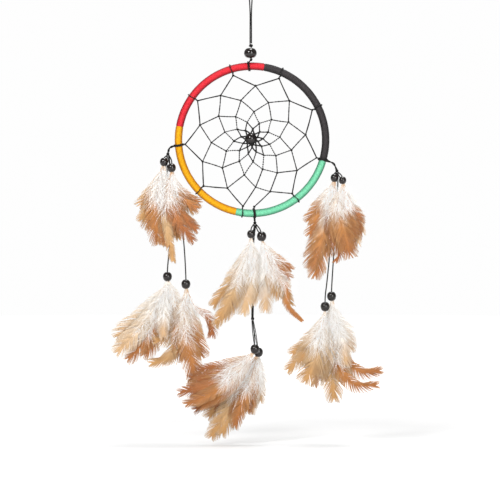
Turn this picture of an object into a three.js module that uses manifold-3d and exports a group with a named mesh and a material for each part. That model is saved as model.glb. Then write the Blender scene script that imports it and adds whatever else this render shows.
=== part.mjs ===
// A dream catcher: a steel ring wound in four colours of thread, a knotted web with a
// bead at its middle, a hanging cord with a large bead, and three feathered drops.
// Millimetres, +Z up, +X to the right seen from the front. The front faces -Y.
// The origin is the top of the hanging loop, where the nail goes.
import * as THREE from 'three';
import { mergeVertices } from 'three/addons/utils/BufferGeometryUtils.js';
import Module from 'manifold-3d';

const wasm = await Module();
wasm.setup();

// ---- driving dimensions ----
const GAP = 0.3;                    // between pieces that touch
const CORD_R = 0.5;                 // waxed cord
const HOOP = { x: 1.2, z: -120, pathR: 56.95, tubeR: 3.04, boreR: 2.2, coreR: 1.8 };
const WRAP_GAP_DEG = 0.4;           // between two colours of winding
const WRAPS = [
  { name: 'wrap_red', from: 80.6, to: 169.6, color: 0xf63446 },
  { name: 'wrap_yellow', from: 169.6, to: 257.4, color: 0xf4b217 },
  { name: 'wrap_green', from: 257.4, to: 343.3, color: 0x92ecc4 },
  { name: 'wrap_black', from: 343.3, to: 440.6, color: 0x303031 },
];
const WEB = {
  threadR: 0.45,
  hitchR: 51.9,                     // from the hoop's centre to each hitch's knot
  hitchAngles: [-88.2, -53.2, -15.6, 26.3, 66.3, 106.3, 144.4, 183.9, 223.6, 262.2],
  perRound: 9,
  pulls: [0.857, 0.8, 0.734, 0.684, 0.65],  // how far in each round draws the thread
};
const WEB_BEAD = { x: 0.4, y: 0, z: -119.1, r: 4.25 };
const BORE_R = 0.9;                 // of a bead on a single cord
const BORE_LIP = 0.25;              // rounded edge of a bore
const BEAD_BANDS = 4;
const BEAD_SIDES = 10;
const UP = new THREE.Vector3(0, 0, 1);
const HANGER = {
  loopHalfWidth: 0.75,              // of the two strands, at their widest
  knot: { x: 0.2, z: -47.1, rx: 1.9, rz: 1.4 },
  bead: { x: -0.1, z: -52.9, r: 5.15, halfHeight: 4.05, boreR: 1.7 },
  lowerKnot: { x: 0.5, z: -58.0, r: 0.8 },
  hitchX: -1.2,
};
const TIE_R = 0.85;                 // two cords twisted together
const DROP_KNOT_R = 1.4;
const UPPER_Y = -5;                 // middle plane of the upper tufts, in front
const LOWER_Y = 2;                  // middle plane of the lower strands, behind
const UPPER_DEPTH = 8;
const LOWER_DEPTH = 10;
const PAIR_DEPTH = 7;               // of the two lower tufts that hang one behind the other
const STRAND_SPREAD = 0.8;          // of a strand from its knot's middle, sideways
const STRAND_STEP = 1.2;            // and in depth

// The three drops. Beads are [x, y, z, radius]; the lists of points are [x, z].
const DROPS = [
  {
    name: 'left', knot: [-63.9, -131.2],
    tie: [[-60.6, -124.6], [-62.6, -126.4], [-63.6, -129.2]],
    upper: [
      { bead: [-66.8, -2.6, -137.3, 3.4],
        tuft: [[-67.6, -142.2], [-74, -148], [-78.5, -160], [-87, -171], [-86, -181],
          [-76, -191], [-66.5, -198], [-62.8, -180], [-63.2, -158], [-65.2, -146]] },
      { bead: [-60.9, -5.2, -141.9, 3.5],
        tuft: [[-61.8, -147], [-62.1, -162], [-61.6, -182], [-64.5, -200], [-60, -210],
          [-54, -199], [-44, -195], [-42, -180], [-39.5, -171], [-47, -163], [-53, -154],
          [-58, -147.6]] },
    ],
    lower: [
      { bead: [-64.4, LOWER_Y, -226, 3.7], via: [[-64.6, -142], [-63.6, -170], [-62.8, -199]],
        tuft: [[-66, -231], [-71, -241], [-75, -250], [-82, -260], [-93, -271], [-104.5, -276],
          [-105, -284], [-101, -291.5], [-86, -291], [-79, -283], [-72, -274], [-66.5, -271.5],
          [-62.6, -258], [-61, -242], [-62.6, -231]] },
      { bead: [-50.1, LOWER_Y, -231.8, 3.7], via: [[-62, -142], [-56, -172], [-52, -197]],
        tuft: [[-51.8, -236.8], [-57.6, -246], [-61, -264], [-66, -275.5], [-76.5, -289],
          [-75, -297], [-64, -301], [-52, -304], [-43.5, -303], [-40.5, -288], [-37, -273],
          [-28.5, -270], [-27, -259], [-38, -250.5], [-46, -241], [-48.4, -236.8]] },
    ],
  },
  {
    name: 'centre', knot: [3.4, -184.4],
    tie: [[3.0, -181.7], [3.2, -182.1], [3.3, -182.6]],
    upper: [
      { bead: [0.5, -3.4, -193.1, 3.35],
        tuft: [[0, -197.9], [-6, -203], [-8, -220], [-14, -234], [-25, -254], [-24, -261],
          [-13, -259], [-4, -247], [-0.6, -238], [1.8, -215], [2.2, -199]] },
      { bead: [8.6, -3.4, -194.8, 3.85],
        tuft: [[7.4, -200.2], [3.4, -214], [1.6, -237], [5, -247], [18, -250], [26, -257],
          [40, -261], [40.5, -254], [33, -247], [31, -232], [27, -214], [18, -203],
          [10.4, -199.8]] },
    ],
    pair: { split: [1.5, -259.8], via: [[2.0, -200], [1.8, -230], [1.7, -245]] },
    lower: [
      { bead: [3.4, -1.8, -282, 3.7], via: [[1.2, -264], [1.6, -271]],
        tuft: [[2.4, -287], [-12, -287.8], [-27, -292], [-38, -305], [-53, -311], [-54, -317],
          [-45, -325.5], [-31, -320], [-16, -307], [-3, -296]] },
      { bead: [6.2, 6.2, -284.8, 3.7], via: [[2.6, -264], [4.2, -272]],
        tuft: [[4, -290], [-1, -300], [-14, -311], [-30, -324], [-41, -331], [-38, -341],
          [-30, -349], [-20, -346], [-10, -337], [-2, -331], [3, -316], [7, -302], [8.6, -290]] },
    ],
  },
  {
    name: 'right', knot: [66.9, -144.1],
    tie: [[60.9, -136.7], [64.2, -138.4], [66.2, -142.2]],
    upper: [
      { bead: [65.0, -2.2, -149.6, 3.3],
        tuft: [[64.2, -154.4], [57, -158], [52, -166], [41, -178], [38.5, -187], [43, -205],
          [47, -222], [54, -225], [59, -216], [60.4, -196], [62.2, -172], [65.4, -155]] },
      { bead: [71.0, -5.6, -151.6, 3.0],
        tuft: [[70, -156], [66, -168], [62.4, -188], [61.2, -204], [67, -212], [76, -208],
          [78, -192], [77.5, -172], [75, -160], [71.6, -156]] },
    ],
    lower: [
      { bead: [62.8, LOWER_Y, -241.2, 3.7], via: [[67.6, -156], [65.6, -190], [64.4, -210]],
        tuft: [[62.6, -246.2], [64, -262], [61.6, -282], [56.5, -303], [60, -319], [70, -321],
          [82, -317], [96.5, -316], [98, -309], [84, -301], [77, -288], [77, -268],
          [72, -250], [65, -246.2]] },
      { bead: [57.8, LOWER_Y, -249.2, 3.7], via: [[65.2, -156], [62.4, -190], [61.2, -210],
          [59, -232], [58, -240]],
        tuft: [[55.4, -254], [47, -262], [36, -274], [27, -288], [28, -300], [40, -306],
          [52, -306], [55.2, -298], [59.8, -280], [61.8, -262], [60.2, -254]] },
    ],
  },
];

// ---- materials ----
const finish = (color, roughness, metalness = 0) =>
  new THREE.MeshStandardMaterial({ color, roughness, metalness });
const steel = () => finish(0x9a9a9c, 0.4, 1);
const windingThread = (color) => finish(color, 0.45);
const waxedCord = () => finish(0x1c1a1a, 0.6);
const darkWood = () => finish(0x1b1210, 0.2);
const featherDown = () => finish(0xd9b58c, 0.85);

// ---- building blocks ----
const model = new THREE.Group();

function addPiece(name, geometry, material) {
  const mesh = new THREE.Mesh(geometry, material);
  mesh.name = name;
  model.add(mesh);
  return mesh;
}

// A closed mesh as a solid that can be joined or cut.
function solidOf(geometry) {
  const bare = geometry.clone();
  for (const name of ['normal', 'uv']) bare.deleteAttribute(name);
  const merged = mergeVertices(bare, 1e-4);
  return new wasm.Manifold(new wasm.Mesh({
    numProp: 3,
    vertProperties: new Float32Array(merged.attributes.position.array),
    triVerts: new Uint32Array(merged.index.array),
  }));
}

function geometryOf(solid) {
  const { vertProperties, triVerts } = solid.getMesh();
  const geometry = new THREE.BufferGeometry();
  geometry.setAttribute('position', new THREE.BufferAttribute(vertProperties, 3));
  geometry.setIndex(new THREE.BufferAttribute(triVerts, 1));
  geometry.computeVertexNormals();
  return geometry;
}

function discShape(radius, sides, holeRadius = 0) {
  const ring = (r) => Array.from({ length: sides }, (_, i) => {
    const angle = (i * 2 * Math.PI) / sides;
    return new THREE.Vector2(r * Math.cos(angle), r * Math.sin(angle));
  });
  const shape = new THREE.Shape(ring(radius));
  if (holeRadius > 0) shape.holes.push(new THREE.Path(ring(holeRadius).reverse()));
  return shape;
}

// Turns an [x, z] pair into a point at depth y.
const inPlane = (y) => ([x, z]) => new THREE.Vector3(x, y, z);

// A round cord through a list of points, capped at both ends.
function cordAlong(points, radius = CORD_R, sides = 8) {
  const path = new THREE.CatmullRomCurve3(points, false, 'centripetal');
  const steps = Math.max(2, Math.round(path.getLength() / (6 * radius)));
  return new THREE.ExtrudeGeometry(discShape(radius, sides), { extrudePath: path, steps });
}

// A turned bead with its bore upright.
function beadGeometry(radius, halfHeight, boreR) {
  const start = Math.asin((boreR + BORE_LIP) / radius);
  const profile = [];
  for (let i = 0; i <= BEAD_BANDS; i += 1) {
    const angle = start + (i / BEAD_BANDS) * (Math.PI - 2 * start);
    profile.push(new THREE.Vector2(radius * Math.sin(angle), -halfHeight * Math.cos(angle)));
  }
  const mouth = halfHeight * Math.cos(start);
  profile.push(new THREE.Vector2(boreR, mouth), new THREE.Vector2(boreR, -mouth));
  profile.push(profile[0].clone());
  return new THREE.LatheGeometry(profile, BEAD_SIDES).rotateX(Math.PI / 2);
}

function roundKnot(rx, ry, rz, x, y, z) {
  return new THREE.IcosahedronGeometry(1, 1).scale(rx, ry, rz).translate(x, y, z);
}

// An arc of the hoop's centre line, in the X-Z plane.
class HoopArc extends THREE.Curve {
  constructor(fromDeg, toDeg) {
    super();
    this.from = THREE.MathUtils.degToRad(fromDeg);
    this.to = THREE.MathUtils.degToRad(toDeg);
  }

  getPoint(t) {
    const angle = this.from + t * (this.to - this.from);
    return onHoop(HOOP.pathR, angle);
  }
}

function onHoop(radius, angle) {
  return new THREE.Vector3(HOOP.x + radius * Math.cos(angle), 0, HOOP.z + radius * Math.sin(angle));
}

// ---- the hoop ----
function addHoopCore() {
  const ring = new THREE.TorusGeometry(HOOP.pathR, HOOP.coreR, 6, 48);
  ring.rotateX(Math.PI / 2).translate(HOOP.x, 0, HOOP.z);
  addPiece('hoop_core', ring, steel());
}

function addWraps() {
  for (const wrap of WRAPS) {
    const arc = new HoopArc(wrap.from + WRAP_GAP_DEG / 2, wrap.to - WRAP_GAP_DEG / 2);
    const sleeve = new THREE.ExtrudeGeometry(discShape(HOOP.tubeR, 10, HOOP.boreR), {
      extrudePath: arc,
      steps: 12,
    });
    addPiece(wrap.name, sleeve, windingThread(wrap.color));
  }
}

// ---- the web ----
// The thread is hitched round the hoop, and then each round catches the middle of the
// thread before it and draws it towards the centre.
function webKnots() {
  const knots = WEB.hitchAngles.map((deg) => onHoop(WEB.hitchR, THREE.MathUtils.degToRad(deg)));
  const centre = new THREE.Vector3(HOOP.x, 0, HOOP.z);
  const hitches = knots.length;
  for (const pull of WEB.pulls) {
    for (let i = 0; i < WEB.perRound; i += 1) {
      const caught = knots.length - hitches;
      const middle = knots[caught].clone().add(knots[caught + 1]).multiplyScalar(0.5);
      knots.push(middle.sub(centre).multiplyScalar(pull).add(centre));
    }
  }
  return knots;
}

function webLinks(knots) {
  const hitches = WEB.hitchAngles.length;
  const links = [];
  for (let i = 0; i + 1 < knots.length; i += 1) {
    const catcher = i + hitches;
    const corners = [knots[i], ...knots.slice(catcher, catcher + 1), knots[i + 1]];
    for (let j = 0; j + 1 < corners.length; j += 1) links.push([corners[j], corners[j + 1]]);
  }
  return links;
}

// A straight thread from one knot's middle to another's, with flat sides so that all the
// threads of the web share their front and back planes.
function threadBetween(from, to) {
  const size = 2 * WEB.threadR;
  const bar = new THREE.BoxGeometry(from.distanceTo(to) + size / 2, size, size);
  const middle = from.clone().add(to).multiplyScalar(0.5);
  bar.rotateY(-Math.atan2(to.z - from.z, to.x - from.x));
  return bar.translate(middle.x, middle.y, middle.z);
}

// A ring of cord round the hoop's tube, square to it.
function hitchRing(angle, cordR) {
  const ring = new THREE.TorusGeometry(HOOP.tubeR + GAP + cordR, cordR, 4, 14);
  const tangent = new THREE.Vector3(-Math.sin(angle), 0, Math.cos(angle));
  const turn = new THREE.Quaternion().setFromUnitVectors(UP, tangent);
  const centre = onHoop(HOOP.pathR, angle);
  return ring.applyQuaternion(turn).translate(centre.x, centre.y, centre.z);
}

function addWeb() {
  const knots = webKnots();
  const parts = webLinks(knots).map(([from, to]) => threadBetween(from, to));
  for (const deg of WEB.hitchAngles) {
    const angle = THREE.MathUtils.degToRad(deg);
    const ringInside = HOOP.pathR - HOOP.tubeR - GAP - WEB.threadR;
    parts.push(hitchRing(angle, WEB.threadR));
    parts.push(threadBetween(onHoop(WEB.hitchR, angle), onHoop(ringInside, angle)));
  }
  const inner = knots.slice(-WEB.perRound).sort((a, b) => b.z - a.z);
  const beadMiddle = new THREE.Vector3(WEB_BEAD.x, WEB_BEAD.y, WEB_BEAD.z);
  const aboveBead = beadMiddle.clone().addScaledVector(UP, WEB_BEAD.r + CORD_R);
  const belowBead = aboveBead.clone().addScaledVector(UP, -2 * (WEB_BEAD.r + CORD_R));
  parts.push(threadBetween(inner[0], aboveBead));
  parts.push(threadBetween(aboveBead, belowBead));
  parts.push(threadBetween(belowBead, inner[inner.length - 1]));
  const web = parts.map(solidOf).reduce((sum, part) => sum.add(part));
  addPiece('web_thread', geometryOf(web), waxedCord());
  const bead = beadGeometry(WEB_BEAD.r, WEB_BEAD.r, BORE_R);
  addPiece('web_bead', bead.translate(WEB_BEAD.x, WEB_BEAD.y, WEB_BEAD.z), darkWood());
}

// ---- the hanger ----
function addHanger() {
  const { loopHalfWidth, knot, bead, lowerKnot, hitchX } = HANGER;
  const strand = [[loopHalfWidth, knot.z + knot.rz + GAP], [loopHalfWidth, -36],
    [loopHalfWidth, -22], [1.2, -10], [1.6, -4]];
  const mirrored = strand.map(([x, z]) => [-x, z]);
  const loop = [...mirrored, [0, -CORD_R], ...strand.reverse()].map(([x, z]) => [x + knot.x, z]);
  addPiece('hang_cord', cordAlong(loop.map(inPlane(0))), waxedCord());
  addPiece('hang_top_knot', roundKnot(knot.rx, knot.rx, knot.rz, knot.x, 0, knot.z), waxedCord());
  const turned = beadGeometry(bead.r, bead.halfHeight, bead.boreR);
  addPiece('hang_bead', turned.translate(bead.x, 0, bead.z), darkWood());
  const stem = [[bead.x, knot.z - knot.rz - GAP], [bead.x, bead.z],
    [bead.x + GAP, lowerKnot.z + lowerKnot.r + GAP]];
  addPiece('bead_cord', cordAlong(stem.map(inPlane(0)), TIE_R), waxedCord());
  addHoopHitch(lowerKnot, hitchX);
}

// The knot under the big bead, and the loop of cord from it round the hoop.
function addHoopHitch(knot, hitchX) {
  const angle = Math.acos((hitchX - HOOP.x) / HOOP.pathR);
  const ball = solidOf(roundKnot(knot.r, knot.r, knot.r, knot.x, 0, knot.z));
  const ring = solidOf(hitchRing(angle, CORD_R));
  const ringTop = onHoop(HOOP.pathR + HOOP.tubeR + GAP + CORD_R, angle);
  const link = cordAlong([new THREE.Vector3(knot.x, 0, knot.z), ringTop], CORD_R);
  addPiece('hoop_hitch', geometryOf(ball.add(ring).add(solidOf(link))), waxedCord());
}

// ---- the drops ----
// A tuft's solid: the outline of its feathers, as deep as they lie.
function tuftGeometry(outline, middleY, depth) {
  const shape = new THREE.Shape(outline.map(([x, z]) => new THREE.Vector2(x, z)));
  const slab = new THREE.ExtrudeGeometry(shape, { depth, bevelEnabled: false });
  return slab.rotateX(Math.PI / 2).translate(0, middleY + depth / 2, 0);
}

// A strand from a knot's underside to the inside of a bead.
function strandGeometry(start, via, [x, y, z, r]) {
  return cordAlong([start, ...via, new THREE.Vector3(x, y, z + r + 1), new THREE.Vector3(x, y, z)]);
}

function addBeadAndTuft(name, index, { bead, tuft }, middleY, depth) {
  const [x, y, z, r] = bead;
  addPiece(`${name}_bead_${index + 1}`, beadGeometry(r, r, BORE_R).translate(x, y, z), darkWood());
  addPiece(`${name}_tuft_${index + 1}`, tuftGeometry(tuft, middleY, depth), featherDown());
}

function addTie({ name, tie, knot: [x, z] }) {
  addPiece(`${name}_tie`, cordAlong(tie.map(inPlane(0)), TIE_R), waxedCord());
  const ball = roundKnot(DROP_KNOT_R, DROP_KNOT_R, DROP_KNOT_R, x, 0, z);
  addPiece(`${name}_knot`, ball, waxedCord());
}

// The two short strands with their beads and tufts, in front.
function addUpper({ name, upper, knot: [x, z] }) {
  upper.forEach((strand, index) => {
    const side = index === 0 ? -1 : 1;
    const start = inPlane(-STRAND_STEP)([x + side * STRAND_SPREAD, z - DROP_KNOT_R - GAP]);
    const cord = strandGeometry(start, [], strand.bead);
    addPiece(`${name}_upper_strand_${index + 1}`, cord, waxedCord());
    addBeadAndTuft(`${name}_upper`, index, strand, UPPER_Y, UPPER_DEPTH);
  });
}

// Two long strands that run side by side to a knot, where they part.
function addPair(name, { split, via }, top) {
  const bottom = [split[0], split[1] + 2 * TIE_R + GAP];
  const route = [top, ...[...via, bottom].map(inPlane(LOWER_Y))];
  addPiece(`${name}_pair_cord`, cordAlong(route, TIE_R), waxedCord());
  const ball = roundKnot(TIE_R, TIE_R, TIE_R, split[0], LOWER_Y, split[1] + TIE_R);
  addPiece(`${name}_split_knot`, ball, waxedCord());
}

// The long strands, behind the upper tufts.
function addLower({ name, lower, knot: [x, z], pair }) {
  const underKnot = (side) => [x + side * STRAND_SPREAD, z - DROP_KNOT_R - GAP];
  if (pair) addPair(name, pair, inPlane(STRAND_STEP)(underKnot(0)));
  lower.forEach((strand, index) => {
    const side = Math.sign(strand.bead[0] - lower[1 - index].bead[0]);
    const beadY = strand.bead[1];
    const start = pair
      ? inPlane(LOWER_Y + side * STRAND_SPREAD)([pair.split[0] + side * STRAND_SPREAD, pair.split[1] - 1])
      : inPlane(STRAND_STEP)(underKnot(side));
    const via = strand.via.map(inPlane((LOWER_Y + beadY) / 2));
    addPiece(`${name}_lower_strand_${index + 1}`, strandGeometry(start, via, strand.bead), waxedCord());
    addBeadAndTuft(`${name}_lower`, index, strand, beadY, pair ? PAIR_DEPTH : LOWER_DEPTH);
  });
}

addHoopCore();
addWraps();
addWeb();
addHanger();
for (const drop of DROPS) {
  addTie(drop);
  addUpper(drop);
  addLower(drop);
}

export default model;
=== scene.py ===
import math
import random

import bmesh
import bpy
from mathutils import Matrix, Vector


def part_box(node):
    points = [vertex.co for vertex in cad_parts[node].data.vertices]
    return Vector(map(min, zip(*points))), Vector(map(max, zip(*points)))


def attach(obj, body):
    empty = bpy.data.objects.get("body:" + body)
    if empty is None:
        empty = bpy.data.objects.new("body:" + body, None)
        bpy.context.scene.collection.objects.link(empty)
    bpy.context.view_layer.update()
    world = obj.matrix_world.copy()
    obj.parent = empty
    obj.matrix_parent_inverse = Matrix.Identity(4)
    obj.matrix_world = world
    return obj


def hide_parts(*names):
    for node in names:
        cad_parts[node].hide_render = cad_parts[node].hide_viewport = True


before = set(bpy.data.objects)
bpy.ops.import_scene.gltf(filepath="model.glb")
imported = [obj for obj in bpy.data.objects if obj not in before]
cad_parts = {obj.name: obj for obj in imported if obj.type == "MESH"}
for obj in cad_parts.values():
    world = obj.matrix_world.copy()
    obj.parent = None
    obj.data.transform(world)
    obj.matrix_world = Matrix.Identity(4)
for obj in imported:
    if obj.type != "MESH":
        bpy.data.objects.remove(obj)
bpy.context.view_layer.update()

mm = 0.001
front = Vector((0, -1, 0))  # the side that faces the room


# Camera: level, a long way off, looking straight at the front.
cameraView = {"place": (-0.4, -1500, -205.3), "width": 387, "sensor": 36}


def makeCamera(view):
    data = bpy.data.cameras.new("camera")
    data.sensor_width = view["sensor"]
    data.lens = view["sensor"] * -view["place"][1] / view["width"]
    camera = bpy.data.objects.new("camera", data)
    camera.location = Vector(view["place"]) * mm
    camera.rotation_euler = (math.radians(90), 0, 0)
    bpy.context.scene.collection.objects.link(camera)
    bpy.context.scene.camera = camera


makeCamera(cameraView)


# Shader graphs: a wire is a socket that can be used in sums.
class Wire:
    def __init__(self, graph, socket):
        self.graph = graph
        self.socket = socket

    def __add__(self, other):
        return self.graph.sum("ADD", self, other)

    def __radd__(self, other):
        return self.graph.sum("ADD", other, self)

    def __sub__(self, other):
        return self.graph.sum("SUBTRACT", self, other)

    def __rsub__(self, other):
        return self.graph.sum("SUBTRACT", other, self)

    def __mul__(self, other):
        return self.graph.sum("MULTIPLY", self, other)

    def __rmul__(self, other):
        return self.graph.sum("MULTIPLY", other, self)

    def __pow__(self, other):
        return self.graph.sum("POWER", self, other)


class Graph:
    def __init__(self, owner, shader, **constants):
        owner.use_nodes = True
        self.owner = owner
        self.tree = owner.node_tree
        self.shader = self.tree.nodes[shader]
        for socket, value in constants.items():
            self.shader.inputs[socket.replace("_", " ")].default_value = value

    def node(self, kind, settings=None, sockets=None, out=0):
        made = self.tree.nodes.new(kind)
        for key, value in (settings or {}).items():
            if key == "stops":
                self.setStops(made.color_ramp.elements, value)
            else:
                setattr(made, key, value)
        for key, value in (sockets or {}).items():
            if isinstance(value, Wire):
                self.tree.links.new(value.socket, made.inputs[key])
            else:
                made.inputs[key].default_value = value
        return Wire(self, made.outputs[out])

    def setStops(self, elements, stops):
        while len(elements) < len(stops):
            elements.new(0.5)
        for element, (place, colour) in zip(elements, stops):
            element.position = place
            element.color = (*colour, 1)

    def sum(self, operation, first, second):
        return self.node("ShaderNodeMath", {"operation": operation}, {0: first, 1: second})

    def mix(self, factor, first, second):
        first, second = (c if isinstance(c, Wire) else (*c, 1) for c in (first, second))
        return self.node("ShaderNodeMix", {"data_type": "RGBA"}, {0: factor, 6: first, 7: second}, out=2)

    def drive(self, socket, wire):
        self.tree.links.new(wire.socket, self.shader.inputs[socket])

    def bump(self, height, strength, distance):
        sockets = {"Height": height, "Strength": strength, "Distance": distance}
        raised = self.node("ShaderNodeBump", {}, sockets)
        self.drive("Normal", raised)


def finishGraph(name, **constants):
    return Graph(bpy.data.materials.new(name), "Principled BSDF", **constants)


def place(graph):
    return graph.node("ShaderNodeTexCoord", out="Object")


def speckle(graph, scale, detail=2.0, where=None):
    sockets = {"Vector": where or place(graph), "Scale": scale, "Detail": detail}
    return graph.node("ShaderNodeTexNoise", {}, sockets)


# The three numbers that a piece carries at each point.
def channels(graph, name):
    vector = graph.node("ShaderNodeAttribute", {"attribute_name": name}, out="Vector")
    parts = graph.node("ShaderNodeSeparateXYZ", {}, {0: vector}).socket.node
    return [Wire(graph, socket) for socket in parts.outputs]


def waxedCord():
    graph = finishGraph("waxedCord", Roughness=0.5, Specular_IOR_Level=0.22)
    fibre = speckle(graph, 900, 3)
    graph.drive("Base Color", graph.mix(fibre, (0.002, 0.002, 0.002), (0.012, 0.011, 0.01)))
    graph.drive("Roughness", fibre * 0.3 + 0.36)
    graph.bump(speckle(graph, 2600, 2), 0.35, 0.0001)
    return graph.owner


def lacqueredWood():
    graph = finishGraph("lacqueredWood", Roughness=0.3, Coat_Weight=1.0, Coat_Roughness=0.02, Coat_IOR=1.45,
                        Specular_IOR_Level=0.1)
    along = graph.node("ShaderNodeMapping", {}, {"Vector": place(graph), "Scale": (1, 1, 0.12)})
    grain = speckle(graph, 1500, 4, along)
    graph.drive("Base Color", graph.mix(grain ** 2.0, (0.001, 0.0007, 0.0006), (0.014, 0.005, 0.0035)))
    graph.bump(grain, 0.12, 0.0001)
    return graph.owner


def satinThread(name, core, edge, toneAndGrooveShade):
    graph = finishGraph(name, Roughness=0.5, Specular_IOR_Level=0.12)
    height, outward, strand = channels(graph, "turn")
    # Painted shade: the thread darkens towards the inner and outer rims of the tube, where it turns away from
    # the front.
    colour = graph.mix(outward, core, edge)
    # The darker colour serves twice: a random tone for each turn, and painted shade in the grooves between
    # turns, where the ridge height falls.
    colour = graph.mix(strand * 0.18, colour, toneAndGrooveShade)
    colour = graph.mix((1 - height) * 0.5, colour, toneAndGrooveShade)
    graph.drive("Base Color", colour)
    graph.bump(speckle(graph, 3000, 2), 0.05, 0.00005)
    return graph.owner


def featherFinish(name, base, middle, tip, rim, streak=0.35, paintedGlow=0.0):
    # Painted light: the emission strength makes a feather glow by itself; only the white down uses it, in
    # place of light scattered through it.
    graph = finishGraph(name, Roughness=0.6, Sheen_Weight=0.12, Sheen_Roughness=0.5, Specular_IOR_Level=0.3,
                        Emission_Color=(1, 0.99, 0.98, 1), Emission_Strength=paintedGlow)
    along, out, chance = channels(graph, "grain")
    blotch = speckle(graph, 160, 3)
    where = along + (blotch - 0.5) * 0.25 + (out - 0.5) * 0.12
    stops = [(0.0, base), (0.3, base), (0.55, middle), (0.85, tip), (1.0, tip)]
    colour = graph.node("ShaderNodeValToRGB", {"stops": stops}, {0: where})
    colour = graph.mix(out ** 3.0 * 0.6, colour, rim)
    shade = (middle[0] * 0.54, middle[1] * 0.44, middle[2] * 0.34)
    graph.drive("Base Color", graph.mix(chance * streak, colour, shade))
    return graph.owner


def steel():
    graph = finishGraph("steelWire", Metallic=1.0, Roughness=0.35)
    rust = speckle(graph, 300, 4)
    graph.drive("Base Color", graph.mix(rust, (0.4, 0.4, 0.42), (0.55, 0.52, 0.5)))
    return graph.owner


cordFinish = waxedCord()
woodFinish = lacqueredWood()
print("finishes for cord and beads made")


stepsBetween = 12  # places on the curve between two points of a route


# Routes: a smooth line through a few points, with evenly spaced stations along it.
def smoothRoute(points, stations):
    points = [Vector(p) for p in points]
    ends = [points[0] * 2 - points[1], *points, points[-1] * 2 - points[-2]]
    line = []
    for before, start, end, after in zip(ends, ends[1:], ends[2:], ends[3:]):
        knots = [0.0]
        for a, b in ((before, start), (start, end), (end, after)):
            knots.append(knots[-1] + math.sqrt((b - a).length))
        for step in range(stepsBetween):
            t = knots[1] + (knots[2] - knots[1]) * step / stepsBetween
            line.append(blendAt(t, knots, before, start, end, after))
    line.append(points[-1])
    return evenly(line, stations)


def blendAt(t, knots, *corners):
    level = list(corners)
    for depth in (1, 2):
        level = [
            mixed(level[i], level[i + 1], t, knots[i], knots[i + depth])
            for i in range(len(level) - 1)
        ]
    return mixed(level[0], level[1], t, knots[1], knots[2])


def mixed(a, b, t, low, high):
    return a + (b - a) * ((t - low) / (high - low))


def evenly(line, stations):
    reach = [0.0]
    for a, b in zip(line, line[1:]):
        reach.append(reach[-1] + (b - a).length)
    spots, i = [], 0
    for station in range(stations):
        wanted = reach[-1] * station / (stations - 1)
        while i < len(line) - 2 and reach[i + 1] < wanted:
            i += 1
        span = reach[i + 1] - reach[i]
        spots.append(line[i].lerp(line[i + 1], min(1.0, (wanted - reach[i]) / span)))
    return spots


def routeLength(line):
    return sum((b - a).length for a, b in zip(line, line[1:]))


def steadyFrames(line, closed=False):
    count = len(line)
    frames, side = [], None
    for i, spot in enumerate(line):
        before = line[i - 1] if i or closed else spot
        after = line[(i + 1) % count] if i + 1 < count or closed else spot
        along = (after - before).normalized()
        if side is None:
            side = along.orthogonal()
        side = (side - along * side.dot(along)).normalized()
        frames.append((along, side, along.cross(side)))
    return frames


# One open rod of rings, from z 0 to z 1, that the sweeps bend to shape.
def unitRod(sides, rings, capped=True):
    bm = bmesh.new()
    bmesh.ops.create_cone(bm, cap_ends=capped, segments=sides, radius1=1, radius2=1, depth=1,
                          matrix=Matrix.Translation((0, 0, 0.5)))
    upright = [e for e in bm.edges if abs(e.verts[0].co.z - e.verts[1].co.z) > 0.5]
    if rings > 1:
        bmesh.ops.subdivide_edges(bm, edges=upright, cuts=rings - 1, use_grid_fill=True)
    return bm


def newPiece(name, bm, finish, body):
    mesh = bpy.data.meshes.new(name)
    bm.to_mesh(mesh)
    bm.free()
    mesh.polygons.foreach_set("use_smooth", [True] * len(mesh.polygons))
    mesh.materials.append(finish)
    piece = bpy.data.objects.new(name, mesh)
    bpy.context.scene.collection.objects.link(piece)
    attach(piece, body)
    return piece


plied = {"core": 0.93, "bulge": 0.09, "lay": 3.2}  # parts of the radius, and diameters for each turn


# A cord of twisted plies that follows a line.
def sweptCord(line, radius, sides=12, plies=3, closed=False):
    count = len(line)
    bm = unitRod(sides, count if closed else count - 1, capped=not closed)
    frames = steadyFrames(line, closed)
    reach = 0.0
    turns = []
    for i in range(count):
        turns.append(reach / (plied["lay"] * radius * 2) * math.tau)
        reach += (line[(i + 1) % count] - line[i]).length
    if closed:
        slack = angleBetween(frames)
        whole = math.tau / plies
        scale = round(turns[-1] / whole) * whole / turns[-1] if turns[-1] else 1
        turns = [t * scale + slack * i / count for i, t in enumerate(turns)]
    rings = count if closed else count - 1
    for v in bm.verts:
        i = round(v.co.z * rings)
        angle = math.atan2(v.co.y, v.co.x)
        swell = radius * (plied["core"] + plied["bulge"] * math.cos(plies * angle))
        angle += turns[i % count] if i < count else turns[0] + slack
        along, side, up = frames[i % count]
        v.co = line[i % count] + (side * math.cos(angle) + up * math.sin(angle)) * swell
    if closed:
        bmesh.ops.remove_doubles(bm, verts=bm.verts, dist=radius * 0.02)
    bmesh.ops.recalc_face_normals(bm, faces=bm.faces)
    return bm


def angleBetween(frames):
    along, side, up = frames[0]
    last = frames[-1][1]
    last = (last - along * last.dot(along)).normalized()
    return -math.atan2(last.dot(up), last.dot(side))


def gather(parts):
    whole = bmesh.new()
    for part in parts:
        mesh = bpy.data.meshes.new("part")
        part.to_mesh(mesh)
        part.free()
        whole.from_mesh(mesh)
        bpy.data.meshes.remove(mesh)
    return whole


def middleOf(node):
    low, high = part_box(node)
    return (low + high) / 2


turning = {"steps": 14, "spin": 40, "sweep": 0.9, "lip": 0.92, "inside": 0.7}


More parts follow.
